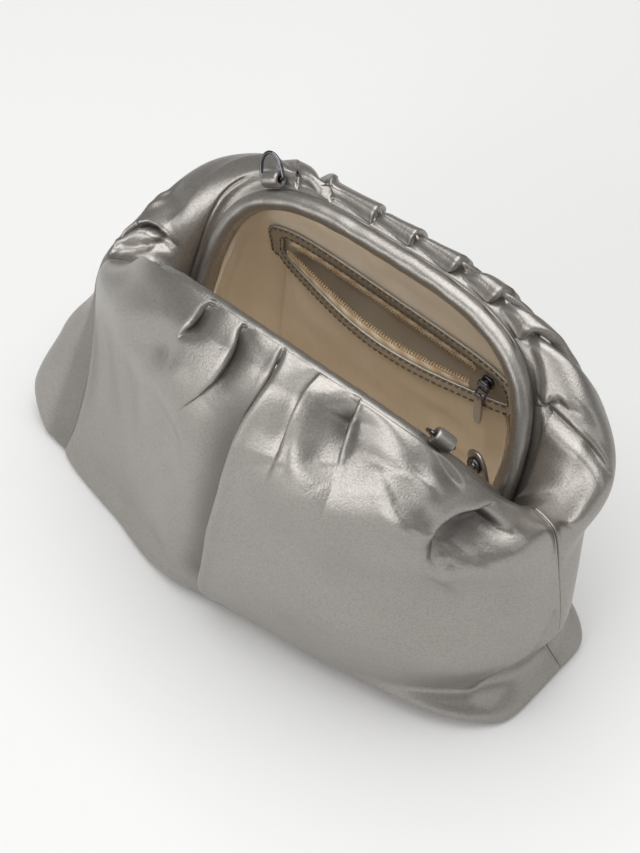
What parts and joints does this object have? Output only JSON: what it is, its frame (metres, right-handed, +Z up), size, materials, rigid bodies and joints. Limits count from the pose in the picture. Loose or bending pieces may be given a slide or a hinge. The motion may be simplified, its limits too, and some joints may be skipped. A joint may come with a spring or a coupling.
{
  "type": "clutch bag",
  "caption": "Soft gathered metallic leather clutch on a hinged tube frame, standing open, with a cloth lining, a zipped inner pocket and swinging D-rings for a strap.",
  "frame": {"origin": "on the surface the bag stands on, straight below the middle of the frame's hinge axis", "axes": "+X along the frame's hinge axis to the right as seen from the front, +Y to the back wall with the zip pocket, +Z up"},
  "size_m": [0.3128, 0.1468, 0.1926],
  "materials": {
    "leather": "soft grained leather with a pewter metallic finish",
    "lining": "champagne satin",
    "zip_tape": "woven zip tape with a coil",
    "metal": "polished gunmetal plating"
  },
  "bodies": {
    "bag": {"front_panel": "leather", "back_panel": "leather", "lining_front": "lining", "lining_back": "lining", "frame_front": "leather", "frame_back": "leather", "hinge_left": "metal", "hinge_right": "metal", "ring_roll_back": "leather", "ring_roll_front": "leather", "pocket_trim": "leather", "zip_tape_front": "zip_tape", "zip_tape_back": "zip_tape", "pocket_panel": "lining", "zip_slider": "metal", "snap_tab": "leather", "snap_stud": "metal"},
    "back_ring": {"ring_back": "metal"},
    "front_ring": {"ring_front": "metal"},
    "pull": {"zip_pull": "metal"}
  },
  "joints": [
    {"name": "back_ring_swing", "type": "hinge", "parent": "bag", "child": "back_ring", "pos_m": [-0.06952, 0.03071, 0.18001], "axis": [-0.8917, -0.1696, -0.4197], "range_deg": [-130, 30]},
    {"name": "front_ring_swing", "type": "hinge", "parent": "bag", "child": "front_ring", "pos_m": [0.08104, -0.02936, 0.16886], "axis": [0.721, 0.3465, -0.6001], "range_deg": [0, 150]},
    {"name": "zip_pull_swing", "type": "hinge", "parent": "bag", "child": "pull", "pos_m": [0.05596, 0.02968, 0.12484], "axis": [0.9991, -0.043, 0], "range_deg": [-150, 0]}
  ]
}
